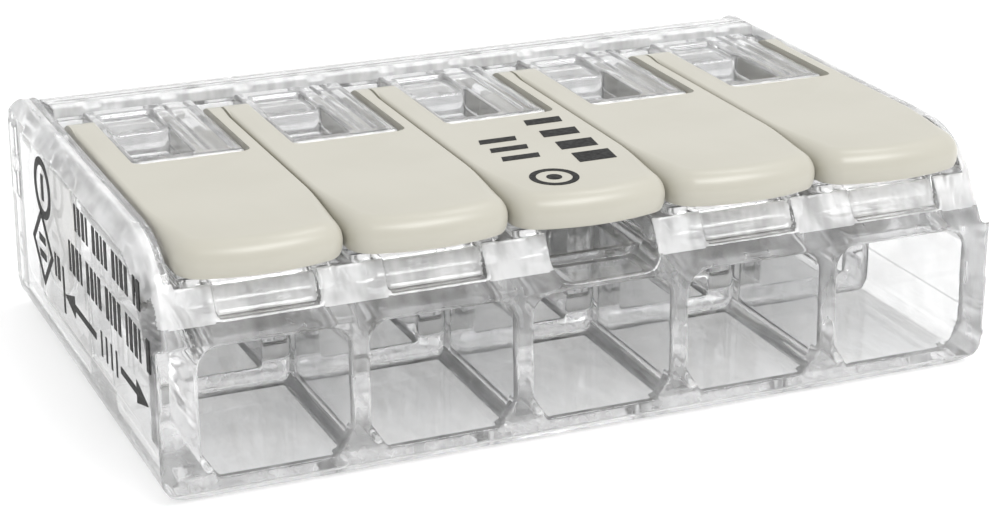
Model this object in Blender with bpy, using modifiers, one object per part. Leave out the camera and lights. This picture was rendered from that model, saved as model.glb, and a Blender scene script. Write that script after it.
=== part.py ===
"""Five-way lever wire connector.

A clear housing and rear cover hold one busbar, five clamp springs and five levers.
X runs along the row of poles, the wires go in at the front (-Y), and +Z is up. The origin
is the centre of the underside. All sizes here are in millimetres; meshes are in metres.
"""

import math

import bmesh
import bpy
from mathutils import Matrix

MM = 0.001

# Overall size and the row of poles
WIDTH, DEPTH, HEIGHT = 29.9, 18.6, 8.3
POLES, PITCH = 5, 5.6
ROW = 0.15                  # the row of poles sits a little right of the middle
FIRST_POLE = ROW - PITCH * (POLES - 1) / 2
FRONT, REAR = -DEPTH / 2, DEPTH / 2

# Housing shell
WALL_TOP = 8.1              # top of the two side walls
PANEL = 0.1                 # how far the printed side panels stand out
FLOOR = 0.8                 # thickness of the floor
SHOULDER_Y = -5.6           # where the side walls start to curve down to the front
SHOULDER_RADIUS, SHOULDER_TURN = 3.2, 62.0
LIP_Y, LIP_Z = -9.15, 5.2   # lower edge of the sloped front band
REAR_RADIUS = 0.9
BASE_CORNER = 1.0           # rounding along the two lower side edges
BAY = 14.08                 # half width of the bay that the levers lie in
BAY_LEFT, BAY_RIGHT = ROW - BAY, ROW + BAY
BAY_FRONT_Z = 6.8           # top of the partitions under the lever plates
BAY_REAR_Z = 7.1            # top of the partitions beside the lever discs
BAY_STEP_Y = -0.5
CAP_Y, CAP_SEAT_Z = 6.3, 7.8
REAR_WALL_Y = 8.3           # front of the slot for the rear cover's wall
CAP_FLAT, CAP_FALL, CAP_RADIUS = 6.8, 0.25, 1.1  # the cap's top falls towards the rear
PEG_Y, PEG_SIZE, PEG_REACH = 8.5, 0.5, 14.35    # snap pegs at the ends of the rear cover
PEG_LOW, PEG_HIGH = 2.2, 5.4
CHAMBER = 1.87              # half width of the spring chamber in each pole
CHAMBER_FRONT = -4.1
ENTRY_HALF, ENTRY_TOP, ENTRY_END = 2.46, 5.05, -3.3
MOUTH_END = -8.85           # the entries' large floor chamfers stop here
MOUTH_CHAMFER, ENTRY_CHAMFER = (1.94, 1.62), (2.26, 1.15)   # (half width of floor, ledge height)
THROAT_HALF, THROAT_END = 1.5, -0.3

# Levers: a plate with two arms, which end in discs around the pivot
PIVOT_Y, PIVOT_Z = 3.3, 5.4
LEVER_TOP, LEVER_UNDER, ARM_UNDER = 8.2, 6.9, 7.2
LEVER_HALF = 2.76
LEVER_FRONT, LEVER_SAG = -8.65, 0.7
LEVER_CORNER = 1.2
WINDOW_Y = -0.55            # front edge of the window between the arms
ARM_LEFT, ARM_RIGHT = -1.84, 2.27
TONGUE_TOP = 8.05           # the housing's clear block that fills the window
TEST_SLOT = (-1.5, 0.6), (0.5, 3.7)
DISC_RADIUS = LEVER_TOP - PIVOT_Z
DISC_HALF = 2.55            # half width over the two discs
HEEL = [(5.2, 7.75), (4.5, LEVER_TOP)]      # rear end of the arms' top, above the pivot
SWING_REACH = 3.15          # radius that the heels sweep, with clearance
DISC_LEFT = -1.93
NOTCH_RADIUS, NOTCH_HIGH, NOTCH_LOW = 0.9, 208, 236
HUB_RADIUS, HUB_LEFT = 1.45, 1.2    # boss on the inside of the right disc
CAVITY_RADIUS, CAVITY_HALF = DISC_RADIUS + 0.06, 2.6

# Clamp springs, bent from one strip around a bow
BOW_Y, BOW_Z = -3.2, 5.9
BOW_OUTER, STRIP = 0.75, 0.3
STRIP_HALF, LIMB_HALF = 1.75, 1.15

# Busbar
BAR_LOW, BAR_TOP, RIDGE_TOP = 0.85, 1.45, 1.7
BAR_HALF, BAR_FRONT, BAR_REAR = 13.5, -0.2, 6.5
FRAME_Y, FRAME_THICK, FRAME_HALF, FRAME_TOP = 5.6, 0.4, 1.8, 6.9

PLANES = {
    "XY": Matrix.Identity(4),
    "YZ": Matrix(((0, 0, 1, 0), (1, 0, 0, 0), (0, 1, 0, 0), (0, 0, 0, 1))),
    "XZ": Matrix(((1, 0, 0, 0), (0, 0, -1, 0), (0, 1, 0, 0), (0, 0, 0, 1))),
}


def clear_scene():
    for obj in list(bpy.data.objects):
        bpy.data.objects.remove(obj, do_unlink=True)


def new_collection(name):
    collection = bpy.data.collections.new(name)
    bpy.context.scene.collection.children.link(collection)
    return collection


def material(name, color, roughness, metallic=0.0, alpha=1.0):
    result = bpy.data.materials.new(name)
    result.use_nodes = True
    shader = result.node_tree.nodes["Principled BSDF"]
    shader.inputs["Base Color"].default_value = (*color, 1.0)
    shader.inputs["Roughness"].default_value = roughness
    shader.inputs["Metallic"].default_value = metallic
    shader.inputs["Alpha"].default_value = alpha
    return result


def object_from_bmesh(name, bm):
    bmesh.ops.recalc_face_normals(bm, faces=bm.faces)
    if bm.calc_volume(signed=True) < 0:
        bmesh.ops.reverse_faces(bm, faces=bm.faces)
    mesh = bpy.data.meshes.new(name)
    bm.to_mesh(mesh)
    bm.free()
    obj = bpy.data.objects.new(name, mesh)
    CUTTERS.objects.link(obj)
    obj.hide_render = True
    obj.display_type = "WIRE"
    return obj


def box(name, x, y, z):
    """A box from its three (low, high) spans."""
    centre = [(span[0] + span[1]) / 2 * MM for span in (x, y, z)]
    size = [(span[1] - span[0]) * MM for span in (x, y, z)]
    bm = bmesh.new()
    place = Matrix.Translation(centre) @ Matrix.Diagonal((*size, 1))
    bmesh.ops.create_cube(bm, size=1.0, matrix=place)
    return object_from_bmesh(name, bm)


def prism(name, outline, plane, span):
    """A flat outline in one of the PLANES, extruded over span along the third axis."""
    curve = bpy.data.curves.new(name, "CURVE")
    curve.dimensions = "2D"
    curve.fill_mode = "BOTH"
    curve.extrude = (span[1] - span[0]) / 2 * MM
    spline = curve.splines.new("POLY")
    spline.points.add(len(outline) - 1)
    for point, (across, up) in zip(spline.points, outline):
        point.co = (across * MM, up * MM, 0, 1)
    spline.use_cyclic_u = True
    flat = bpy.data.objects.new(name, curve)
    CUTTERS.objects.link(flat)
    middle = (span[0] + span[1]) / 2 * MM * (-1 if plane == "XZ" else 1)
    mesh = evaluated_mesh(flat)
    bpy.data.objects.remove(flat)
    bm = bmesh.new()
    bm.from_mesh(mesh)
    bmesh.ops.remove_doubles(bm, verts=bm.verts, dist=1e-7)
    bmesh.ops.dissolve_limit(bm, angle_limit=0.001, verts=bm.verts, edges=bm.edges)
    bm.transform(PLANES[plane] @ Matrix.Translation((0, 0, middle)))
    return object_from_bmesh(name, bm)


def arc(centre, radius, start, end, steps):
    """Points of an arc in (across, up), with angles in degrees."""
    turns = [math.radians(start + (end - start) * i / steps) for i in range(steps + 1)]
    return [(centre[0] + radius * math.cos(t), centre[1] + radius * math.sin(t)) for t in turns]


def evaluated_mesh(obj):
    depsgraph = bpy.context.evaluated_depsgraph_get()
    return bpy.data.meshes.new_from_object(obj.evaluated_get(depsgraph))


def on_every_pole(obj):
    """Repeat a piece made at x = 0 over the row of poles."""
    obj.location.x = FIRST_POLE * MM
    array = obj.modifiers.new("poles", "ARRAY")
    array.count = POLES
    array.use_relative_offset = False
    array.use_constant_offset = True
    array.constant_offset_displace = (PITCH * MM, 0, 0)
    return obj


def combine(target, operation, tools):
    for tool in tools:
        step = target.modifiers.new(tool.name, "BOOLEAN")
        step.operation = operation
        step.solver = "EXACT"
        step.object = tool


def cut(target, *tools):
    combine(target, "DIFFERENCE", tools)


def join(target, *tools):
    combine(target, "UNION", tools)


def show(obj, name, look):
    """Name a finished piece and move it to the connector's collection."""
    CUTTERS.objects.unlink(obj)
    CONNECTOR.objects.link(obj)
    obj.name = name
    obj.hide_render = False
    obj.display_type = "TEXTURED"
    obj.data.materials.clear()
    obj.data.materials.append(look)


def repeat_part(obj, name, axis_point, look):
    """Put a copy of a piece made at x = 0 in every pole, with its origin at axis_point (y, z)."""
    mesh = evaluated_mesh(obj)
    mesh.name = name
    mesh.transform(Matrix.Translation((0, -axis_point[0] * MM, -axis_point[1] * MM)))
    mesh.materials.clear()
    mesh.materials.append(look)
    for modifier in list(obj.modifiers):
        if modifier.type == "BOOLEAN":
            bpy.data.objects.remove(modifier.object)
    bpy.data.objects.remove(obj)
    for pole in range(POLES):
        copy = bpy.data.objects.new(f"{name}_{pole + 1}", mesh)
        copy.location = ((FIRST_POLE + pole * PITCH) * MM, axis_point[0] * MM, axis_point[1] * MM)
        CONNECTOR.objects.link(copy)


def wall_outline():
    """The side walls seen from the side, with the curved shoulder at the front."""
    bottom_front, bottom_rear, draft_start = 0.35, 0.5, 1.2
    shoulder = arc((SHOULDER_Y, WALL_TOP - SHOULDER_RADIUS), SHOULDER_RADIUS,
                   90, 90 + SHOULDER_TURN, 7)
    rear = arc((REAR - REAR_RADIUS, WALL_TOP - REAR_RADIUS), REAR_RADIUS, 0, 90, 4)
    return [(FRONT + bottom_front, 0), (REAR - bottom_rear, 0), (REAR, bottom_rear),
            *rear, *shoulder, (LIP_Y, LIP_Z), (FRONT, draft_start), (FRONT, bottom_front)]


def entry_outline(flat, ledge):
    """A wire entry seen from the front: chamfered at the floor, rounded at the top."""
    corner = 0.65
    side = ENTRY_HALF - corner
    right = [(flat, FLOOR), (ENTRY_HALF, ledge),
             *arc((side, ENTRY_TOP - corner), corner, 0, 90, 4)]
    return right + [(-x, z) for x, z in reversed(right)]


def corner_outline(side, half):
    """What is cut away outside one rounded lower side edge, seen from the front."""
    centre = half - BASE_CORNER
    rounding = arc((centre, BASE_CORNER), BASE_CORNER, -90, 0, 4)
    away = half + 1
    return [(side * x, z) for x, z in
            [(centre, -1), *rounding, (away, BASE_CORNER + 0.01), (away, -1)]]


def side_panel_outline():
    """The raised panel on each side wall, with clipped corners."""
    low, front, rear, clip = 2.1, -8.9, 7.0, 0.5
    margin = 0.5
    shoulder = arc((SHOULDER_Y, WALL_TOP - SHOULDER_RADIUS), SHOULDER_RADIUS - margin,
                   90, 90 + SHOULDER_TURN, 5)
    high = WALL_TOP - margin
    return [(front, low), (rear - clip, low), (rear, low + clip), (rear, high - clip),
            (rear - clip, high), *shoulder, (front, LIP_Z - margin)]


def swing_outline():
    """What the arms sweep behind the pivot, cut through the partitions and seats."""
    inner = ARM_UNDER - PIVOT_Z - 0.1
    turn = arc((PIVOT_Y, PIVOT_Z), inner, 90, -45, 9)
    low, front_of_cap, furthest, under_seat = 3.35, CAP_Y - 0.1, PIVOT_Y + SWING_REACH, 6.9
    return [*turn, (turn[-1][0], low), (furthest, low), (furthest, under_seat),
            (front_of_cap, under_seat), (front_of_cap, WALL_TOP + 0.2), (PIVOT_Y, WALL_TOP + 0.2)]


def wide_notch_outline():
    """The deeper, rounded notch in the front band of the middle pole."""
    left, right, low, corner = ROW - 1.6, ROW + 2.15, 5.3, 0.6
    return [(left, HEIGHT), *arc((left + corner, low + corner), corner, 180, 270, 3),
            *arc((right - corner, low + corner), corner, 270, 360, 3), (right, HEIGHT)]


def window_tongue():
    """The clear block in each lever's window, with its rectangular test slot."""
    low, knee, lean, clear = 6.95, 0.2, 0.6, 0.1
    front, rear = WINDOW_Y + 0.1, CAP_Y + 0.4
    outline = [(front, low), (rear, low), (rear, CAP_SEAT_Z),
               (CAP_Y - clear, CAP_SEAT_Z), (CAP_Y - clear, TONGUE_TOP),
               (front + lean, TONGUE_TOP), (front, low + knee)]
    tongue = prism("tongue", outline, "YZ", (-1.8, 2.2))
    return on_every_pole(tongue)


def make_housing():
    inside = WIDTH / 2 - PANEL
    body = prism("housing", wall_outline(), "YZ", (-inside, inside))
    for side, name in ((-1, "left_corner"), (1, "right_corner")):
        cut(body, prism(name, corner_outline(side, inside), "XZ", (FRONT - 1, REAR + 1)))
    for side, name in ((-1, "panel_left"), (1, "panel_right")):
        faces = sorted((side * (inside - 0.4), side * WIDTH / 2))
        join(body, prism(name, side_panel_outline(), "YZ", faces))
    above = HEIGHT + 1
    outside = REAR + 1
    cut(body,
        box("bay_front", (BAY_LEFT, BAY_RIGHT), (FRONT - 1, BAY_STEP_Y), (BAY_FRONT_Z, above)),
        box("bay_rear", (BAY_LEFT, BAY_RIGHT), (BAY_STEP_Y - 0.01, CAP_Y - 0.1), (BAY_REAR_Z, above)),
        box("cap_seat", (BAY_LEFT, BAY_RIGHT), (CAP_Y - 0.2, outside), (CAP_SEAT_Z, above)),
        box("cover_slot", (BAY_LEFT, BAY_RIGHT), (REAR_WALL_Y, outside), (FLOOR, above)),
        box("busbar_slot", (BAY_LEFT + 0.3, BAY_RIGHT - 0.3), (THROAT_END, REAR_WALL_Y + 0.1), (FLOOR, 1.55)),
        prism("arm_swing", swing_outline(), "YZ", (BAY_LEFT, BAY_RIGHT)))
    mouth = prism("mouth", entry_outline(*MOUTH_CHAMFER), "XZ", (FRONT - 1, MOUTH_END))
    entry = prism("entry", entry_outline(*ENTRY_CHAMFER), "XZ", (MOUTH_END - 0.01, ENTRY_END))
    throat = box("throat", (-THROAT_HALF, THROAT_HALF), (ENTRY_END - 0.1, THROAT_END + 0.1),
                 (1.5, 4.9))
    chamber = box("chamber", (-CHAMBER, CHAMBER), (THROAT_END, CAP_Y - 0.1), (FLOOR, above))
    spring_room = prism("spring_room", [(CHAMBER_FRONT, above), (CHAMBER_FRONT, 5.05),
                                        (-2.0, 4.85), (-1.4, 4.45), (THROAT_END + 0.1, 4.3),
                                        (THROAT_END + 0.1, above)], "YZ", (-CHAMBER, CHAMBER))
    rear_room = box("rear_room", (-CAVITY_HALF, CAVITY_HALF), (CAP_Y - 0.2, REAR_WALL_Y + 0.1),
                    (FLOOR + 0.2, LEVER_UNDER))
    cavity = prism("disc_seat", arc((PIVOT_Y, PIVOT_Z), CAVITY_RADIUS, 0, 345, 23), "YZ",
                   (-CAVITY_HALF, CAVITY_HALF))
    under_lever = box("under_lever", (-ENTRY_HALF, ENTRY_HALF), (-7.6, CHAMBER_FRONT - 0.5),
                      (5.65, above))
    finger_notch = box("finger_notch", (-1.65, 1.7), (FRONT - 1, -7.5), (5.8, above))
    cut(body, *(on_every_pole(tool) for tool in (
        mouth, entry, throat, chamber, spring_room, rear_room, cavity, under_lever, finger_notch)))
    cut(body, prism("wide_notch", wide_notch_outline(), "XZ", (FRONT - 1, -7.5)))
    for side in (-1, 1):
        for name, z in (("lower", PEG_LOW), ("upper", PEG_HIGH)):
            reach = sorted((ROW + side * (BAY - 0.1), ROW + side * (PEG_REACH + 0.1)))
            cut(body, box(f"{name}_peg_recess", reach, (PEG_Y - 0.1, PEG_Y + PEG_SIZE + 0.1),
                          (z - 0.1, z + PEG_SIZE + 0.1)))
    join(body, window_tongue())
    cut(body, on_every_pole(box("test_slot", *TEST_SLOT, (LEVER_UNDER - 0.5, above))))
    show(body, "housing", CLEAR)


def make_rear_cover():
    left, right = BAY_LEFT + 0.06, BAY_RIGHT - 0.06
    low, wall, rib_top = FLOOR + 0.05, REAR_WALL_Y + 0.05, 6.7
    seat = CAP_SEAT_Z + 0.05
    top = arc((REAR - CAP_RADIUS, HEIGHT - CAP_FALL - CAP_RADIUS), CAP_RADIUS, 0, 80, 4)
    outline = [(CAP_Y, seat), (wall, seat), (wall, low), (REAR, low), *top, (CAP_FLAT, HEIGHT),
               (CAP_Y, HEIGHT)]
    cover = prism("rear_cover", outline, "YZ", (left, right))
    for name, centre in (("rib_left", -1.2), ("rib_right", 1.2)):
        join(cover, on_every_pole(box(name, (centre - 0.2, centre + 0.2), (7.2, wall + 0.3),
                                      (1.7, rib_top))))
    for side in (-1, 1):
        for name, z in (("lower", PEG_LOW), ("upper", PEG_HIGH)):
            reach = sorted((ROW + side * (BAY - 0.4), ROW + side * PEG_REACH))
            join(cover, box(f"{name}_peg", reach, (PEG_Y, PEG_Y + PEG_SIZE), (z, z + PEG_SIZE)))
    show(cover, "rear_cover", CLEAR_COVER)


def make_busbar():
    bar = box("busbar", (ROW - BAR_HALF, ROW + BAR_HALF), (BAR_FRONT, BAR_REAR), (BAR_LOW, BAR_TOP))
    ridge = prism("ridge", [(0.6, BAR_TOP - 0.1), (1.9, BAR_TOP - 0.1), (1.5, RIDGE_TOP),
                            (1.0, RIDGE_TOP)], "YZ", (-1.7, 1.7))
    frame = box("frame", (-FRAME_HALF, FRAME_HALF), (FRAME_Y, FRAME_Y + FRAME_THICK),
                (BAR_TOP - 0.1, FRAME_TOP))
    window = box("frame_window", (-1.25, 1.25), (FRAME_Y - 1, FRAME_Y + FRAME_THICK + 0.3),
                 (1.9, BOW_Z + BOW_OUTER + 0.02))
    join(bar, on_every_pole(ridge), on_every_pole(frame))
    cut(bar, on_every_pole(window))
    show(bar, "busbar", COPPER)


def make_springs():
    """The fixed part of each spring: the bow and the contact limb that hangs in the frame."""
    end = FRAME_Y + FRAME_THICK + 0.3
    top = BOW_Z + BOW_OUTER
    bow = (BOW_Y, BOW_Z)
    outline = [(end, top - STRIP), (end, top), *arc(bow, BOW_OUTER, 90, 270, 10),
               *arc(bow, BOW_OUTER - STRIP, 270, 90, 10)]
    spring = prism("clamp_spring", outline, "YZ", (-STRIP_HALF, STRIP_HALF))
    for name, side in (("trim_left", (-2, -LIMB_HALF)), ("trim_right", (LIMB_HALF, 2))):
        cut(spring, box(name, side, (-1.5, end + 1), (top - 1, top + 1)))
    repeat_part(spring, "clamp_spring", bow, SPRING)


def make_clamp_legs():
    """The moving limb: a clamping blade between two arms whose ears sit in the disc notches."""
    root, bend = BOW_Y + 0.05, (-1.5, 5.0)
    low = BOW_Z - BOW_OUTER
    tip_y, tip_z = 1.25, RIDGE_TOP + 0.05
    blade = prism("clamp_leg", [(root, low), (bend[0], bend[1] - 0.1), (tip_y, tip_z),
                                (tip_y + 0.3, tip_z + 0.12), (bend[0] + 0.25, bend[1] + 0.22),
                                (root, low + STRIP)], "YZ", (-LIMB_HALF, LIMB_HALF))
    ear_y, ear_z, ear = 1.9, 4.25, 0.18
    arm = [(root, low), (bend[0], bend[1] - 0.1), (ear_y + ear, ear_z - ear),
           (ear_y + ear, ear_z + ear), (bend[0], bend[1] + STRIP - 0.08), (root, low + STRIP)]
    for name, side in (("arm_left", (-STRIP_HALF, -1.25)), ("arm_right", (1.25, STRIP_HALF))):
        join(blade, prism(name, arm, "YZ", side))
    root_plate = [(root, low), (bend[0], bend[1] - 0.1), (bend[0], bend[1] + STRIP - 0.08),
                  (root, low + STRIP)]
    join(blade, prism("root_plate", root_plate, "YZ", (-STRIP_HALF, STRIP_HALF)))
    for name, side in (("ear_left", (-2.45, -1.6)), ("ear_right", (1.6, 2.45))):
        join(blade, box(name, side, (ear_y - ear, ear_y + ear), (ear_z - ear, ear_z + ear)))
    repeat_part(blade, "clamp_leg", (BOW_Y, BOW_Z), SPRING)


def plate_outline(rear):
    """The lever's plate from above: a bowed front edge between two rounded corners."""
    side_y = LEVER_FRONT + LEVER_SAG
    bow_radius = (LEVER_HALF ** 2 + LEVER_SAG ** 2) / (2 * LEVER_SAG)
    centre = (0, LEVER_FRONT + bow_radius)
    corner_x = LEVER_HALF - LEVER_CORNER
    reach = bow_radius - LEVER_CORNER
    corner_y = centre[1] - math.sqrt(reach ** 2 - corner_x ** 2)
    lean = math.degrees(math.atan2(corner_y - centre[1], corner_x))
    right = arc((corner_x, corner_y), LEVER_CORNER, 0, lean, 5)
    front = arc(centre, bow_radius, lean, -180 - lean, 6)[1:-1]
    left = [(-x, y) for x, y in reversed(right)]
    return [(-LEVER_HALF, rear), (LEVER_HALF, rear), *right, *front, *left]


def make_levers():
    pivot = (PIVOT_Y, PIVOT_Z)
    plate_rear = WINDOW_Y - 0.25
    lever = prism("lever", plate_outline(WINDOW_Y), "XY", (ARM_UNDER - 0.1, LEVER_TOP))
    under = prism("plate_under", plate_outline(plate_rear), "XY", (LEVER_UNDER, ARM_UNDER + 0.2))
    arm_radius = ARM_UNDER - PIVOT_Z
    arm = [(WINDOW_Y - 0.5, ARM_UNDER), *arc(pivot, arm_radius, 90, 50, 4), *HEEL,
           (WINDOW_Y - 0.5, LEVER_TOP)]
    disc = [*arc(pivot, DISC_RADIUS - 0.02, NOTCH_LOW - 360, NOTCH_HIGH, 32),
            *arc(pivot, NOTCH_RADIUS, NOTCH_HIGH, NOTCH_LOW, 1)]
    hub = [*arc(pivot, HUB_RADIUS, NOTCH_LOW - 360, NOTCH_HIGH, 20),
           *arc(pivot, NOTCH_RADIUS, NOTCH_HIGH, NOTCH_LOW, 1)]
    join(lever, under)
    join(lever, prism("arm_left", arm, "YZ", (-LEVER_HALF, ARM_LEFT)),
         prism("arm_right", arm, "YZ", (ARM_RIGHT, LEVER_HALF)),
         prism("disc_left", disc, "YZ", (-DISC_HALF, DISC_LEFT)),
         prism("disc_right", disc, "YZ", (ARM_RIGHT + 0.02, DISC_HALF)),
         prism("hub", hub, "YZ", (HUB_LEFT, ARM_RIGHT + 0.2)))
    repeat_part(lever, "lever", pivot, IVORY)


clear_scene()
CONNECTOR = new_collection("lever_wire_connector")
CUTTERS = new_collection("cutters")
CLEAR = material("clear_housing", (0.92, 0.93, 0.94), 0.08, alpha=0.35)
CLEAR_COVER = material("clear_cover", (0.94, 0.95, 0.96), 0.06, alpha=0.4)
IVORY = material("ivory_lever", (0.72, 0.70, 0.61), 0.4)
COPPER = material("tinned_copper", (0.60, 0.60, 0.60), 0.35, metallic=1.0)
SPRING = material("spring_steel", (0.55, 0.55, 0.56), 0.3, metallic=1.0)
make_housing()
make_rear_cover()
make_busbar()
make_springs()
make_clamp_legs()
make_levers()
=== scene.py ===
"""The lever wire connector as it looks: clear housing and cover, ivory levers, tin and steel."""
import math

import bmesh
import bpy
from mathutils import Matrix, Vector


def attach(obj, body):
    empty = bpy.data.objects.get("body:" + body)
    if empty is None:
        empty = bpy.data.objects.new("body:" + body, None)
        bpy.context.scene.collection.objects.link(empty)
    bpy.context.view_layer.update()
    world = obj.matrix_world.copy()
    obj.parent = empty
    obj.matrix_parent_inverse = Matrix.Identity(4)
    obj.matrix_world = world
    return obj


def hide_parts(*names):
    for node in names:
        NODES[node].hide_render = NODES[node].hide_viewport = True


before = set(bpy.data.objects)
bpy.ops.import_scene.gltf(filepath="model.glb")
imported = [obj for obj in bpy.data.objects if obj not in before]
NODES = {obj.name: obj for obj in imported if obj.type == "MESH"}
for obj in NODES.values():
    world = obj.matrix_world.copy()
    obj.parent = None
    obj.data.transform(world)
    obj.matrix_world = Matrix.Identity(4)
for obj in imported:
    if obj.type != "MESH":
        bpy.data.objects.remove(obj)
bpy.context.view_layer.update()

MM = 0.001                   # all sizes and places below are in mm, in the CAD's frame
POLES, PITCH, ROW = 5, 5.6, 0.15
POLE_X = [ROW + PITCH * (i - (POLES - 1) / 2) for i in range(POLES)]
PANEL_X = 14.95              # faces of the raised side panels
REAR, TOP = 9.3, 8.3
PIVOT = (3.3, 5.4)           # (y, z) of the lever hinges

# Levers
LEVER_TOP, LEVER_UNDER, ARM_UNDER = 8.2, 7.0, 7.2
LEVER_HALF, LEVER_FRONT, LEVER_SAG, LEVER_CORNER = 2.76, -8.95, 0.55, 1.0
FRONT_FILLET, SIDE_FILLET = 0.7, 0.16
FILLET_FROM, FILLET_RUN = -4.6, 3.9        # where the side fillet starts to grow, and over what
UNDER_EDGE = [(0.45, 0.0, 0.0), (0.12, 0.0, 0.09), (0.0, 0.02, 0.25)]   # see lever_plate
LEVER_CUT = (6.0, 9.0)       # heights that a cut through a lever's plate spans
WINDOW_Y, WINDOW_CORNER, ARM_LEFT, ARM_RIGHT = -0.55, 0.32, -1.84, 2.27
ARM_LAP = 0.5                # how far the arms reach forward into the plate
HEEL_UNDER = (5.2, 7.65)
HEEL_CURVE = [(5.2, 7.72), (5.15, 7.82), (4.95, 7.98), (4.7, 8.12), (4.42, 8.19), (4.1, LEVER_TOP)]
DISC_RADIUS, DISC_HALF, DISC_LEFT = 2.78, 2.55, -1.93
NOTCH_RADIUS, NOTCH_HIGH, NOTCH_LOW = 0.9, 208, 236
HUB_RADIUS, HUB_LEFT = 1.45, 1.2

# Housing and cover
PARTITION_X = [ROW + PITCH * (i - POLES / 2) for i in range(1, POLES)]
BAY = 14.08                  # half width of the bay between the side walls
WALL_TOP, SHOULDER_Y, SHOULDER_RADIUS, SHOULDER_TURN = 8.1, -5.6, 3.2, 62
WALL_CHAMFER = [(15.05, 0.1), (14.43, 0.1), (15.05, -0.786)]    # (x, height over the wall)
WALL_GROOVE, WALL_GROOVE_DEPTH = (14.2, 14.34), 0.16
LIP = (-9.15, 5.2)           # (y, z) of the front band's lower edge
REST_OUTLINE = [(-8.55, 5.7), (-8.0, 6.65), (-7.4, 6.65), (-7.4, 5.7)]       # (y, z)
REST_LEFT, REST_RIGHT = -1.75, 1.8
FACET_OUTLINE = [(-8.58, 6.12), (-8.28, 6.8), (-7.8, 6.8), (-7.8, 6.12)]     # (y, z)
FACET_HALF, END_FACET = 0.46, 0.75
LEG_INNER, LEG_Y, LEG_Z = 14.6, (7.9, 8.95), (4.6, 7.3)
CAP_FRONT, TONGUE_TOP = 6.3, 8.05
TONGUE_GROOVES, TONGUE_GROOVE, TONGUE_GROOVE_DEPTH = (0.95, 1.35, 1.75), 0.13, 0.16
TONGUE_STEP_X, TONGUE_STEP_Y, TONGUE_STEP_DEPTH = (-1.42, 0.5), (3.6, 5.6), 0.2
CAP_GROOVES, CAP_GROOVE, CAP_GROOVE_DEPTH, CAP_GROOVE_INSET = (7.12, 7.75), 0.14, 0.18, 0.3
CAP_NICKS, CAP_NICK, CAP_NICK_REACH, CAP_NICK_DEPTH = (-1.7, 1.1), 0.65, 0.16, 0.14
HOUSING_VOXEL, COVER_VOXEL, SOFTENING = 0.075, 0.07, 3
STAMPED_EDGE = 0.04          # rounding of the metal pieces' edges
WELD_DISTANCE = 1e-7         # in metres

# Faces of the clear mouldings given a hazier, whiter look as painted highlight: they stand in for
# bright reflections of the overhead light
BAND_FRONT, BAND_Z = -7.6, (5.72, 6.9)
TONGUE_FRONT = (-0.6, 0.25)
WALL_TOP_X = 14.2
CAP_EDGE_Y, CAP_EDGE_Z = 6.6, 7.85

# Print
INK = 0.012                  # how far the print stands proud
LEVER_BAR, LEVER_SLANT = 1.35, 0.12
LEVER_RING, SIDE_RING, SIDE_DIAMOND = (0.82, 0.6), (1.12, 0.82), (1.45, 1.12)
ROUND = 32                   # sides of a printed ring
SIDE_STROKES = [(-0.4, 6.15, 0.95, 14), (0.6, 4.4, 1.1, 17), (2.75, 3.45, 0.85, 2)]
GAUGE_Z, GAUGE_TICKS = 3.2, (-3.3, -3.9, -4.5, -5.1)

# Colours and looks
CLEAR_DARK, CLEAR_LIGHT, CLEAR_IOR = (0.955, 0.96, 0.965), (0.985, 0.985, 0.985), 1.58
# The second share is for the faces whitened as painted highlight
CLEAR, PAINTED_HIGHLIGHT_CLARITY = (0.84, 0.95), (0.42, 0.68)     # share of light let through
IVORY_DARK, IVORY_LIGHT = (0.475, 0.459, 0.394), (0.498, 0.482, 0.417)
TIN_DARK, TIN_LIGHT = (0.74, 0.74, 0.73), (0.88, 0.88, 0.87)
STEEL_DARK, STEEL_LIGHT = (0.66, 0.66, 0.67), (0.82, 0.82, 0.83)
INK_DARK, INK_LIGHT = (0.012, 0.012, 0.012), (0.022, 0.022, 0.021)

# Studio
CAMERA_PLACE = (-32.927, -74.923, 34.202)
CAMERA_AZIMUTH, CAMERA_ELEVATION, CAMERA_ROLL = -21.948, 20.980, -0.296
LENS, SENSOR, SHIFT = 88.30, 36, (0.0859, 0.0044)
LIGHTS = [("key", (0.10, -0.22, 0.31), (0.22, 0.14), 0.7),     # name, place and size in m, watts
          ("edge", (0.17, 0.06, 0.36), (0.12, 0.05), 0.12)]
CAMERA_SIDE, BACK, ZENITH = 0.72, 0.9, 0.2      # brightness of the surroundings
FLOOR_HALF, FLOOR_Z = 0.6, -2e-5                # in metres
FLOOR_GREY, FLOOR_GLOW = 0.6, 0.52
GLASS_BOUNCES, DIFFUSE_BOUNCES = 32, 12

PLANES = {
    "XY": Matrix.Identity(4),
    "YZ": Matrix(((0, 0, 1, 0), (1, 0, 0, 0), (0, 1, 0, 0), (0, 0, 0, 1))),
}


# Shapes

def object_from_bmesh(name, bm):
    bmesh.ops.recalc_face_normals(bm, faces=bm.faces)
    if bm.calc_volume(signed=True) < 0:
        bmesh.ops.reverse_faces(bm, faces=bm.faces)
    mesh = bpy.data.meshes.new(name)
    bm.to_mesh(mesh)
    bm.free()
    obj = bpy.data.objects.new(name, mesh)
    bpy.context.scene.collection.objects.link(obj)
    return obj


def box(x, y, z):
    centre = [(span[0] + span[1]) / 2 * MM for span in (x, y, z)]
    size = [(span[1] - span[0]) * MM for span in (x, y, z)]
    bm = bmesh.new()
    place = Matrix.Translation(centre) @ Matrix.Diagonal((*size, 1))
    bmesh.ops.create_cube(bm, size=1.0, matrix=place)
    return object_from_bmesh("tool", bm)


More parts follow.
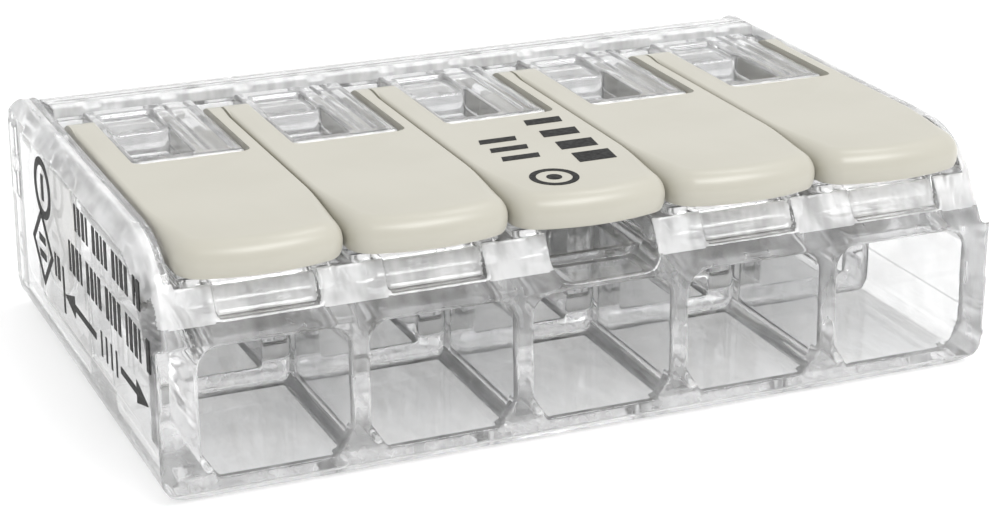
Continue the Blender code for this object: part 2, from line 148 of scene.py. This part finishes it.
def loft(bm, rings, closed=False):
    """Joins rings of equally many points with faces, and caps the ends unless closed."""
    loops = [[bm.verts.new([v * MM for v in point]) for point in ring] for ring in rings]
    for low, high in zip(loops, loops[1:] + loops[:1] if closed else loops[1:]):
        for i in range(len(low)):
            j = (i + 1) % len(low)
            bm.faces.new((low[i], low[j], high[j], high[i]))
    if not closed:
        bm.faces.new(loops[0])
        bm.faces.new(loops[-1])


def prism(outline, plane, span):
    """A flat outline in one of the PLANES, extruded over span along the third axis."""
    bm = bmesh.new()
    loft(bm, [[(a, b, c) for a, b in outline] for c in span])
    bm.transform(PLANES[plane])
    return object_from_bmesh("tool", bm)


def arc(centre, radius, start, end, steps):
    turns = [math.radians(start + (end - start) * i / steps) for i in range(steps + 1)]
    return [(centre[0] + radius * math.cos(t), centre[1] + radius * math.sin(t)) for t in turns]


def bake(obj):
    """Replaces the object's mesh with what its modifiers make of it."""
    depsgraph = bpy.context.evaluated_depsgraph_get()
    mesh = bpy.data.meshes.new_from_object(obj.evaluated_get(depsgraph))
    obj.modifiers.clear()
    obj.data = mesh


def combine(target, operation, tools):
    for tool in tools:
        step = target.modifiers.new("step", "BOOLEAN")
        step.operation = operation
        step.solver = "EXACT"
        step.object = tool
    bake(target)
    for tool in tools:
        bpy.data.objects.remove(tool)


def cut(target, *tools):
    combine(target, "DIFFERENCE", tools)


def join(target, *tools):
    combine(target, "UNION", tools)


def moulded(obj, voxel, *added):
    """Fuses the added shapes on, and rounds every edge a little, as a moulding's are."""
    bm = bmesh.new()
    for part in (obj, *added):
        bm.from_mesh(part.data)
    bm.to_mesh(obj.data)
    bm.free()
    for part in added:
        bpy.data.objects.remove(part)
    remesh = obj.modifiers.new("remesh", "REMESH")
    remesh.mode = "VOXEL"
    remesh.voxel_size = voxel * MM
    remesh.use_smooth_shade = True
    smooth = obj.modifiers.new("smooth", "SMOOTH")
    smooth.iterations = SOFTENING
    bake(obj)


def smooth_by_angle(obj, degrees):
    bm = bmesh.new()
    bm.from_mesh(obj.data)
    limit = math.radians(degrees)
    for face in bm.faces:
        face.smooth = True
    for edge in bm.edges:
        edge.smooth = len(edge.link_faces) == 2 and edge.calc_face_angle(0) < limit
    bm.to_mesh(obj.data)
    bm.free()


def cad_copy(name, new_name):
    """A copy of a CAD node's mesh, welded and with its flat faces whole again."""
    bm = bmesh.new()
    bm.from_mesh(NODES[name].data)
    bmesh.ops.remove_doubles(bm, verts=bm.verts, dist=WELD_DISTANCE)
    bmesh.ops.dissolve_limit(bm, angle_limit=0.01, verts=bm.verts, edges=bm.edges)
    return object_from_bmesh(new_name, bm)


def finish_piece(obj, name, look, body, *replaced):
    obj.name = name
    obj.data.name = name
    obj.data.materials.clear()
    obj.data.materials.append(look)
    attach(obj, body)
    if replaced:
        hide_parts(*replaced)


# Materials

def new_material(name):
    result = bpy.data.materials.new(name)
    result.use_nodes = True
    return result, result.node_tree, result.node_tree.nodes["Principled BSDF"]


def noise(tree, scale, detail=3.0, stretch=(1, 1, 1)):
    """Noise over the object's own coordinates; scale is in features per mm."""
    coords = tree.nodes.new("ShaderNodeTexCoord")
    mapping = tree.nodes.new("ShaderNodeMapping")
    mapping.inputs["Scale"].default_value = [v / MM for v in stretch]
    texture = tree.nodes.new("ShaderNodeTexNoise")
    texture.inputs["Scale"].default_value = scale
    texture.inputs["Detail"].default_value = detail
    tree.links.new(coords.outputs["Object"], mapping.inputs["Vector"])
    tree.links.new(mapping.outputs["Vector"], texture.inputs["Vector"])
    return texture.outputs["Fac"]


def ranged(tree, source, before, after, curve="SMOOTHSTEP"):
    """The source, with its values from the range before taken to the range after."""
    node = tree.nodes.new("ShaderNodeMapRange")
    node.interpolation_type = curve
    for side, ends in (("From", before), ("To", after)):
        for end, value in zip(("Min", "Max"), ends):
            node.inputs[f"{side} {end}"].default_value = value
    tree.links.new(source, node.inputs["Value"])
    return node.outputs["Result"]


def spread(tree, source, low, high):
    """Noise, whose values are mostly near a half, spread out from low to high."""
    return ranged(tree, source, (0.3, 0.7), (low, high))


def tinted(tree, source, dark, light):
    mix = tree.nodes.new("ShaderNodeMix")
    mix.data_type = "RGBA"
    mix.inputs["A"].default_value = (*dark, 1)
    mix.inputs["B"].default_value = (*light, 1)
    tree.links.new(source, mix.inputs["Factor"])
    return mix.outputs["Result"]


def bump(tree, source, distance, strength):
    node = tree.nodes.new("ShaderNodeBump")
    node.inputs["Distance"].default_value = distance * MM
    node.inputs["Strength"].default_value = strength
    tree.links.new(source, node.inputs["Height"])
    return node.outputs["Normal"]


def clear_plastic(name, clarity, fineness):
    """Clear polycarbonate: streaky haze, moulding ripples and a little uneven gloss."""
    result, tree, shader = new_material(name)
    shader.inputs["IOR"].default_value = CLEAR_IOR
    streaks = noise(tree, 1.6 * fineness, 2, (1, 0.4, 0.4))
    tree.links.new(spread(tree, streaks, *clarity), shader.inputs["Transmission Weight"])
    tone = spread(tree, noise(tree, 0.35 * fineness), 0, 1)
    tree.links.new(tinted(tree, tone, CLEAR_DARK, CLEAR_LIGHT), shader.inputs["Base Color"])
    gloss = spread(tree, noise(tree, 1.1 * fineness, 2), 0.02, 0.06)
    tree.links.new(gloss, shader.inputs["Roughness"])
    ripples = bump(tree, noise(tree, 0.5 * fineness, 2, (1, 0.35, 1)), 0.05, 0.3)
    tree.links.new(ripples, shader.inputs["Normal"])
    return result


def ivory_plastic():
    result, tree, shader = new_material("ivory_plastic")
    tone = spread(tree, noise(tree, 0.25), 0, 1)
    tree.links.new(tinted(tree, tone, IVORY_DARK, IVORY_LIGHT), shader.inputs["Base Color"])
    tree.links.new(spread(tree, noise(tree, 0.6, 2), 0.28, 0.32), shader.inputs["Roughness"])
    tree.links.new(bump(tree, noise(tree, 0.4, 1), 0.04, 0.12), shader.inputs["Normal"])
    shader.inputs["Specular IOR Level"].default_value = 0.5
    return result


def metal(name, dark, light, rough, stretch):
    """Rolled strip: streaks in tone and relief, long in the direction with a low stretch value."""
    result, tree, shader = new_material(name)
    shader.inputs["Metallic"].default_value = 1
    streaks = noise(tree, 3.0, 4, stretch)
    tone = spread(tree, streaks, 0, 1)
    tree.links.new(tinted(tree, tone, dark, light), shader.inputs["Base Color"])
    tree.links.new(spread(tree, noise(tree, 2.0), *rough), shader.inputs["Roughness"])
    tree.links.new(bump(tree, streaks, 0.01, 0.3), shader.inputs["Normal"])
    return result


def ink_material():
    result, tree, shader = new_material("ink")
    patchy = spread(tree, noise(tree, 5.0, 4), 0, 1)
    tree.links.new(tinted(tree, patchy, INK_DARK, INK_LIGHT), shader.inputs["Base Color"])
    tree.links.new(spread(tree, noise(tree, 8.0), 0.5, 0.7), shader.inputs["Roughness"])
    shader.inputs["Specular IOR Level"].default_value = 0.2
    return result


# Levers

def plate_outline(rear):
    """The lever's plate from above, with a bowed front edge between two rounded corners."""
    bow_radius = (LEVER_HALF ** 2 + LEVER_SAG ** 2) / (2 * LEVER_SAG)
    centre = (0, LEVER_FRONT + bow_radius)
    corner_x = LEVER_HALF - LEVER_CORNER
    reach = bow_radius - LEVER_CORNER
    corner_y = centre[1] - math.sqrt(reach ** 2 - corner_x ** 2)
    lean = math.degrees(math.atan2(corner_y - centre[1], corner_x))
    steps = 32
    side = [(LEVER_HALF, rear + (corner_y - rear) * i / steps) for i in range(steps)]
    right = side + arc((corner_x, corner_y), LEVER_CORNER, 0, lean, 12)
    front = arc(centre, bow_radius, lean, -180 - lean, 20)[1:-1]
    return right + front + [(-x, y) for x, y in reversed(right)]


def inset(outline, depth):
    """The outline moved inwards by depth(y) at each point; its rear edge stays straight."""
    result = []
    for i, (x, y) in enumerate(outline):
        before, after = outline[i - 1], outline[(i + 1) % len(outline)]
        if i == 0:
            before = (x, y + 1)
        if i == len(outline) - 1:
            after = (x, y + 1)
        along = Vector((after[0] - before[0], after[1] - before[1])).normalized()
        inward = Vector((along[1], -along[0]))
        move = depth(y)
        result.append((x + inward[0] * move, y + inward[1] * move))
    return result


def fillet_at(y):
    """The top edge's radius: large round the front, small along the sides."""
    share = min(1.0, max(0.0, (FILLET_FROM - y) / FILLET_RUN))
    share = share * share * (3 - 2 * share)
    return SIDE_FILLET + (FRONT_FILLET - SIDE_FILLET) * share


def lever_plate():
    """A plate with a softened lower edge and a fillet round its top.

    UNDER_EDGE has each lower ring's inset, as a share of the fillet and as a fixed part,
    and its height over the underside.
    """
    outline = plate_outline(HEEL_CURVE[-1][0])
    rings = []
    for share, fixed, up in UNDER_EDGE:
        moved = inset(outline, lambda y: share * fillet_at(y) + fixed)
        rings.append([(x, y, LEVER_UNDER + up) for x, y in moved])
    steps = 8
    for k in range(steps + 1):
        turn = math.pi / 2 * k / steps
        moved = inset(outline, lambda y: (1 - math.cos(turn)) * fillet_at(y))
        rings.append([(x, y, LEVER_TOP - (1 - math.sin(turn)) * fillet_at(start[1]))
                      for (x, y), start in zip(moved, outline)])
    bm = bmesh.new()
    loft(bm, rings)
    return object_from_bmesh("lever", bm)


def window_outline():
    """The window in the plate, open at the rear between the arms."""
    corner_y = WINDOW_Y + WINDOW_CORNER
    right = arc((ARM_RIGHT - WINDOW_CORNER, corner_y), WINDOW_CORNER, 0, -90, 6)
    left = arc((ARM_LEFT + WINDOW_CORNER, corner_y), WINDOW_CORNER, -90, -180, 6)
    rear = PIVOT[0] + 1
    return [(ARM_RIGHT, rear), *right, *left, (ARM_LEFT, rear)]


def around_pivot(radius, steps):
    """A disc round the hinge, with the notch that pushes the clamping limb."""
    return [*arc(PIVOT, radius, NOTCH_LOW - 360, NOTCH_HIGH, steps),
            *arc(PIVOT, NOTCH_RADIUS, NOTCH_HIGH, NOTCH_LOW, 2)]


def make_levers(look):
    lever = lever_plate()
    cut(lever, prism(window_outline(), "XY", LEVER_CUT),
        box((-3, 3), (WINDOW_Y - 0.25, PIVOT[0] + 1), (LEVER_CUT[0], ARM_UNDER)))
    arm_front = PIVOT[0] - ARM_LAP
    arm = [(arm_front, ARM_UNDER), *arc(PIVOT, ARM_UNDER - PIVOT[1], 90, 50, 14), HEEL_UNDER,
           *HEEL_CURVE, (arm_front, LEVER_TOP - SIDE_FILLET)]
    disc, hub = around_pivot(DISC_RADIUS, 72), around_pivot(HUB_RADIUS, 40)
    join(lever, prism(arm, "YZ", (-LEVER_HALF + 0.01, ARM_LEFT)),
         prism(arm, "YZ", (ARM_RIGHT, LEVER_HALF - 0.01)),
         prism(disc, "YZ", (-DISC_HALF, DISC_LEFT)),
         prism(disc, "YZ", (ARM_RIGHT + 0.02, DISC_HALF)),
         prism(hub, "YZ", (HUB_LEFT, ARM_RIGHT + 0.2)))
    smooth_by_angle(lever, 32)
    mesh = lever.data
    bpy.data.objects.remove(lever)
    mesh.materials.clear()
    mesh.materials.append(look)
    for i, x in enumerate(POLE_X, 1):
        piece = bpy.data.objects.new(f"lever_{i}_moulding", mesh)
        piece.location.x = x * MM
        bpy.context.scene.collection.objects.link(piece)
        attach(piece, f"lever_{i}")
        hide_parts(f"lever_{i}")


# Housing, cover and metal

def along_wall_top(section):
    """A section of (x, height) points swept over a side wall's top and down its shoulder."""
    centre = (SHOULDER_Y, WALL_TOP - SHOULDER_RADIUS)
    steps = 10
    last = 90 + SHOULDER_TURN
    turns = [90, *(90 + SHOULDER_TURN * i / steps for i in range(steps + 1)), last]
    spine = [(REAR + 1, WALL_TOP), *arc(centre, SHOULDER_RADIUS, 90, last, steps), LIP]
    rings = []
    for (y, z), turn in zip(spine, turns):
        out_y, out_z = math.cos(math.radians(turn)), math.sin(math.radians(turn))
        rings.append([(x, y + out_y * h, z + out_z * h) for x, h in section])
    bm = bmesh.new()
    loft(bm, rings)
    return object_from_bmesh("tool", bm)


def wall_top_cuts(side):
    """The chamfer along a side wall's outer top edge, and the fine groove inside it."""
    groove = sorted(side * x for x in WALL_GROOVE)
    return [along_wall_top([(side * x, h) for x, h in WALL_CHAMFER]),
            box(groove, (SHOULDER_Y, REAR + 1), (WALL_TOP - WALL_GROOVE_DEPTH, TOP + 1))]


def finger_rests():
    """Sloped backs that close the notches in the front band, but for the middle pole's."""
    return [prism(REST_OUTLINE, "YZ", (x + REST_LEFT, x + REST_RIGHT)) for x in POLE_X if x != ROW]


def band_facets():
    """The flat facets at the top of the front band, at each partition and both ends."""
    spans = [(x - FACET_HALF, x + FACET_HALF) for x in PARTITION_X]
    spans += [(ROW - BAY, ROW - BAY + END_FACET), (ROW + BAY - END_FACET, ROW + BAY)]
    return [prism(FACET_OUTLINE, "YZ", span) for span in spans]


def tongue_cuts(x):
    """Grooves beside each test slot, and the shallow step behind it."""
    groove_y, groove_z = (0.45, CAP_FRONT - 0.1), (TONGUE_TOP - TONGUE_GROOVE_DEPTH, TOP)
    cuts = [box((x + at, x + at + TONGUE_GROOVE), groove_y, groove_z) for at in TONGUE_GROOVES]
    cuts.append(box([x + at for at in TONGUE_STEP_X], TONGUE_STEP_Y,
                    (TONGUE_TOP - TONGUE_STEP_DEPTH, TOP)))
    return cuts


def paint_highlights(obj, look, chosen):
    """Gives the painted-highlight material, as a second material, to the faces that chosen(centre in
    mm, normal) picks.
    """
    obj.data.materials.append(look)
    for face in obj.data.polygons:
        if chosen(face.center / MM, face.normal):
            face.material_index = 1


def on_housing_edges(centre, normal):
    """The front band's slope, the tongues' front edges and the tops of the side walls: faces turned up
    and forward, whitened as painted highlight.
    """
    sloped = normal.y < -0.5 and normal.z > 0.25
    on_band = centre.y < BAND_FRONT and BAND_Z[0] < centre.z < BAND_Z[1]
    on_tongue = TONGUE_FRONT[0] < centre.y < TONGUE_FRONT[1] and centre.z > BAND_Z[1]
    on_wall_top = abs(centre.x) > WALL_TOP_X and centre.z > BAND_Z[0] and normal.z > 0.3
    return sloped and (on_band or on_tongue) or on_wall_top


# The cap's front top edge, facing up and forward, whitened as painted highlight
def on_cap_edge(centre, normal):
    facing = normal.z > 0.3 or normal.y < -0.3
    return centre.y < CAP_EDGE_Y and centre.z > CAP_EDGE_Z and facing


def make_housing(look, highlight_look):
    shell = cad_copy("housing", "housing_shell")
    cut(shell, *wall_top_cuts(-1), *wall_top_cuts(1))
    cut(shell, *(tool for x in POLE_X for tool in tongue_cuts(x)))
    legs = [box(span, LEG_Y, LEG_Z) for span in ((-PANEL_X, -LEG_INNER), (LEG_INNER, PANEL_X))]
    moulded(shell, HOUSING_VOXEL, *finger_rests(), *band_facets(), *legs)
    finish_piece(shell, "housing_moulding", look, "housing", "housing")
    paint_highlights(shell, highlight_look, on_housing_edges)


def make_cover(look, highlight_look):
    cover = cad_copy("rear_cover", "cover")
    groove_x = (ROW - BAY + CAP_GROOVE_INSET, ROW + BAY - CAP_GROOVE_INSET)
    groove_z = (TOP - CAP_GROOVE_DEPTH, TOP + 1)
    nick_y, nick_z = (CAP_FRONT - 1, CAP_FRONT + CAP_NICK_REACH), (TOP - CAP_NICK_DEPTH, TOP + 1)
    cut(cover, *(box(groove_x, (y, y + CAP_GROOVE), groove_z) for y in CAP_GROOVES),
        *(box((x + at, x + at + CAP_NICK), nick_y, nick_z) for x in POLE_X for at in CAP_NICKS))
    moulded(cover, COVER_VOXEL)
    finish_piece(cover, "cover_moulding", look, "housing", "rear_cover")
    paint_highlights(cover, highlight_look, on_cap_edge)


def make_metal(tin, steel):
    looks = {"busbar": tin}
    for i in range(1, POLES + 1):
        looks[f"clamp_spring_{i}"] = looks[f"clamp_leg_{i}"] = steel
    for name, look in looks.items():
        node = NODES[name]
        node.data.materials.clear()
        node.data.materials.append(look)
        weld = node.modifiers.new("weld", "WELD")
        weld.merge_threshold = WELD_DISTANCE
        rounded = node.modifiers.new("rounded", "BEVEL")
        rounded.width = STAMPED_EDGE * MM
        rounded.segments = 2
        rounded.limit_method = "ANGLE"


# Print

def ring(centre, radii, sides, start=0):
    """A band of so many sides, as pairs of points on its outer and inner edge."""
    outer, inner = (arc(centre, radius, start, start + 360, sides)[:-1] for radius in radii)
    return list(zip(outer, inner))


def bar(across, up, width, height, slant=0.0):
    return [(across, up), (across + width, up), (across + width + slant, up + height),
            (across + slant, up + height)]


def arrow(tip, direction, length, head=1.3, half_head=0.4, half_shaft=0.12):
    neck, end = tip[0] - direction * head, tip[0] - direction * length
    upper = [(neck, half_head), (neck, half_shaft), (end, half_shaft)]
    lower = [(along, -up) for along, up in reversed(upper)]
    return [tip, *((along, tip[1] + up) for along, up in upper + lower)]


def strokes(start, low, height, count):
    """A row of upright strokes in groups of four, running towards the front."""
    result, at = [], start
    for k in range(count):
        width = 0.2 + 0.12 * (k * k % 3)
        result.append(bar(at - width, low, width, height))
        at -= width + (0.6 if k % 4 == 3 else 0.2)
    return result


def printed(name, outlines, bands, plane, span, look, body):
    """Thin raised ink over span: flat outlines, and bands from ring()."""
    bm = bmesh.new()
    low, high = span
    for outline in outlines:
        loft(bm, [[(a, b, c) for a, b in outline] for c in span])
    for band in bands:
        loft(bm, [[(*far, low), (*far, high), (*near, high), (*near, low)] for far, near in band],
             closed=True)
    bm.transform(PLANES[plane])
    finish_piece(object_from_bmesh(name, bm), name, look, body)


def print_lever(look):
    """On the middle lever: growing bars, three short bars and a ring round a dot."""
    marks = [bar(ROW + 0.62, -1.75 - 1.41 * k, LEVER_BAR, 0.55 + 0.13 * k, LEVER_SLANT)
             for k in range(4)]
    marks += [bar(ROW - 1.7, -3.05 - 0.95 * k, LEVER_BAR, 0.42, LEVER_SLANT) for k in range(3)]
    target = (ROW - 0.8, -7.0)
    marks.append(arc(target, 0.26, 0, 345, 23))
    printed("lever_print", marks, [ring(target, LEVER_RING, ROUND)], "XY",
            (LEVER_TOP - 0.01, LEVER_TOP + INK), look, "lever_3")


def print_side(look):
    """On the left panel: rows of strokes, a ring, a diamond and a strip-length gauge."""
    marks = [mark for row in SIDE_STROKES for mark in strokes(*row)]
    marks += [bar(1.5, 2.45, 0.2, 1.7), arrow((1.45, GAUGE_Z), 1, 4.0), arrow((-8.6, GAUGE_Z), -1, 3.1)]
    marks += [bar(y, 2.75, 0.16, 0.9) for y in GAUGE_TICKS]
    marks += [bar(3.85, 5.75, 0.3, 0.95), bar(4.0, 3.45, 0.85, 0.28), bar(4.0, 4.05, 0.85, 0.28)]
    bands = [ring((4.0, 6.2), SIDE_RING, ROUND), ring((4.4, 3.9), SIDE_DIAMOND, 4)]
    printed("side_print", marks, bands, "YZ", (-PANEL_X - INK, -PANEL_X + 0.03), look, "housing")


# Studio

def add_camera():
    data = bpy.data.cameras.new("camera")
    data.sensor_width = SENSOR
    data.lens = LENS
    data.shift_x, data.shift_y = SHIFT
    data.clip_start = 0.002
    data.clip_end = 10
    camera = bpy.data.objects.new("camera", data)
    azimuth, elevation = math.radians(CAMERA_AZIMUTH), math.radians(CAMERA_ELEVATION)
    roll = math.radians(CAMERA_ROLL)
    back = Vector((math.sin(azimuth) * math.cos(elevation),
                   -math.cos(azimuth) * math.cos(elevation), math.sin(elevation)))
    right = Vector((0, 0, 1)).cross(back).normalized()
    up = back.cross(right)
    turned_right = math.cos(roll) * right + math.sin(roll) * up
    turned_up = -math.sin(roll) * right + math.cos(roll) * up
    camera.matrix_world = (Matrix.Translation(Vector(CAMERA_PLACE) * MM)
                           @ Matrix((turned_right, turned_up, back)).transposed().to_4x4())
    bpy.context.scene.collection.objects.link(camera)
    bpy.context.scene.camera = camera


def add_light(name, place, size, power):
    data = bpy.data.lights.new(name, "AREA")
    data.shape = "RECTANGLE"
    data.size, data.size_y = size
    data.energy = power
    light = bpy.data.objects.new(name, data)
    light.location = place
    light.rotation_euler = (-Vector(place)).to_track_quat("-Z", "Y").to_euler()
    bpy.context.scene.collection.objects.link(light)


def add_surroundings():
    """White all round: brighter behind the connector than on the camera's side, and overhead."""
    world = bpy.data.worlds.new("studio")
    world.use_nodes = True
    bpy.context.scene.world = world
    tree = world.node_tree
    coords = tree.nodes.new("ShaderNodeTexCoord")
    split = tree.nodes.new("ShaderNodeSeparateXYZ")
    tree.links.new(coords.outputs["Generated"], split.inputs["Vector"])
    depth = ranged(tree, split.outputs["Y"], (-0.9, 0.2), (CAMERA_SIDE, BACK), "LINEAR")
    height = ranged(tree, split.outputs["Z"], (0.55, 0.9), (0.0, ZENITH))
    total = tree.nodes.new("ShaderNodeMath")
    tree.links.new(depth, total.inputs[0])
    tree.links.new(height, total.inputs[1])
    background = tree.nodes["Background"]
    tree.links.new(total.outputs["Value"], background.inputs["Strength"])
    background.inputs["Color"].default_value = (1, 1, 1, 1)


def add_floor():
    mesh = bpy.data.meshes.new("floor")
    corners = [(x * FLOOR_HALF, y * FLOOR_HALF, FLOOR_Z)
               for x, y in ((-1, -1), (1, -1), (1, 1), (-1, 1))]
    mesh.from_pydata(corners, [], [(0, 1, 2, 3)])
    floor = bpy.data.objects.new("floor", mesh)
    bpy.context.scene.collection.objects.link(floor)
    look, _, shader = new_material("floor")
    shader.inputs["Base Color"].default_value = (FLOOR_GREY, FLOOR_GREY, FLOOR_GREY, 1)
    shader.inputs["Roughness"].default_value = 0.8
    shader.inputs["Emission Color"].default_value = (1, 1, 1, 1)
    shader.inputs["Emission Strength"].default_value = FLOOR_GLOW
    mesh.materials.append(look)


add_camera()
add_surroundings()
add_floor()
for light in LIGHTS:
    add_light(*light)
bpy.context.scene.view_settings.view_transform = "Standard"
cycles = bpy.context.scene.cycles
cycles.max_bounces = cycles.transmission_bounces = cycles.glossy_bounces = GLASS_BOUNCES
cycles.diffuse_bounces = DIFFUSE_BOUNCES

# A hazier, whiter plastic for faces that stand in for bright reflections: painted highlight
painted_highlight_plastic = clear_plastic("painted_highlight_plastic", PAINTED_HIGHLIGHT_CLARITY, 1.0)
make_housing(clear_plastic("clear_housing_plastic", CLEAR, 1.0), painted_highlight_plastic)
make_cover(clear_plastic("clear_cover_plastic", CLEAR, 1.2), painted_highlight_plastic)
make_levers(ivory_plastic())
make_metal(metal("tinned_copper_metal", TIN_DARK, TIN_LIGHT, (0.3, 0.45), (0.15, 1, 1)),
           metal("spring_steel_metal", STEEL_DARK, STEEL_LIGHT, (0.22, 0.36), (1, 0.15, 1)))
ink = ink_material()
print_lever(ink)
print_side(ink)
